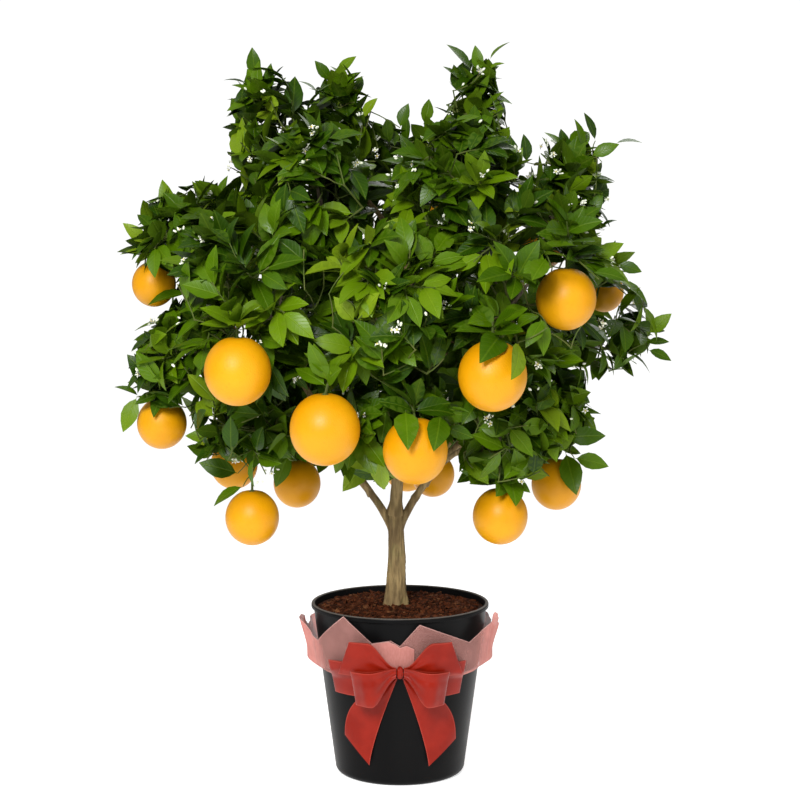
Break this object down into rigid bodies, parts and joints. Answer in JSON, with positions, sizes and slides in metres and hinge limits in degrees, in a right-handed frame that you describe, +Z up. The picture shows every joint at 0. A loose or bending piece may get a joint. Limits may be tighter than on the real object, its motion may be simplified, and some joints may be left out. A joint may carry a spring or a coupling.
{
  "type": "potted meyer lemon tree",
  "caption": "Dwarf citrus grown as a short standard in a round pot, with a full evergreen crown hung with fruit, a cloth wrap and a ribbon bow.",
  "frame": {"origin": "middle of the pot's flat underside, on the ground", "axes": "+Z up along the trunk, -Y towards the bow on the front of the pot, +X to the right of someone who faces the bow"},
  "size_m": [0.6865, 0.6526, 0.9204],
  "materials": {
    "pot_plastic": "satin black",
    "bark_mulch": "rough chips",
    "bark": "ridged bark",
    "foliage": "glossy leaf",
    "wrap_cloth": "sheer non-woven cloth",
    "ribbon": "satin ribbon"
  },
  "bodies": {
    "root": {"bough_back_left": "bark", "bough_back_middle": "bark", "bough_back_right": "bark", "bough_centre": "bark", "bough_front_left": "bark", "bough_front_middle": "bark", "bough_front_right": "bark", "bough_left": "bark", "bough_left_upper": "bark", "bough_low_back_left": "bark", "bough_low_back_right": "bark", "bough_low_front": "bark", "bough_low_front_right": "bark", "bough_low_left": "bark", "bough_low_right": "bark", "bough_right": "bark", "bough_right_upper": "bark", "bough_top_back": "bark", "bough_top_front_left": "bark", "bough_top_left": "bark", "bough_top_middle": "bark", "bough_top_right": "bark", "bow_knot": "ribbon", "bow_loop_back_left": "ribbon", "bow_loop_back_right": "ribbon", "bow_loop_front_left": "ribbon", "bow_loop_front_right": "ribbon", "bow_loop_upper_left": "ribbon", "bow_loop_upper_right": "ribbon", "bow_tail_left": "ribbon", "bow_tail_right": "ribbon", "foliage_back_left": "foliage", "foliage_back_middle": "foliage", "foliage_back_right": "foliage", "foliage_front_left": "foliage", "foliage_front_middle": "foliage", "foliage_front_right": "foliage", "foliage_left_lower": "foliage", "foliage_left_upper": "foliage", "foliage_low_back_left": "foliage", "foliage_low_back_right": "foliage", "foliage_low_front": "foliage", "foliage_low_front_right": "foliage", "foliage_low_left": "foliage", "foliage_low_right": "foliage", "foliage_right_middle": "foliage", "foliage_right_upper": "foliage", "foliage_top_back": "foliage", "foliage_top_front_left": "foliage", "foliage_top_front_right": "foliage", "foliage_top_left": "foliage", "foliage_top_middle": "foliage", "foliage_top_right": "foliage", "mulch": "bark_mulch", "pot": "pot_plastic", "trunk": "bark", "wrap": "wrap_cloth"}
  },
  "joints": []
}
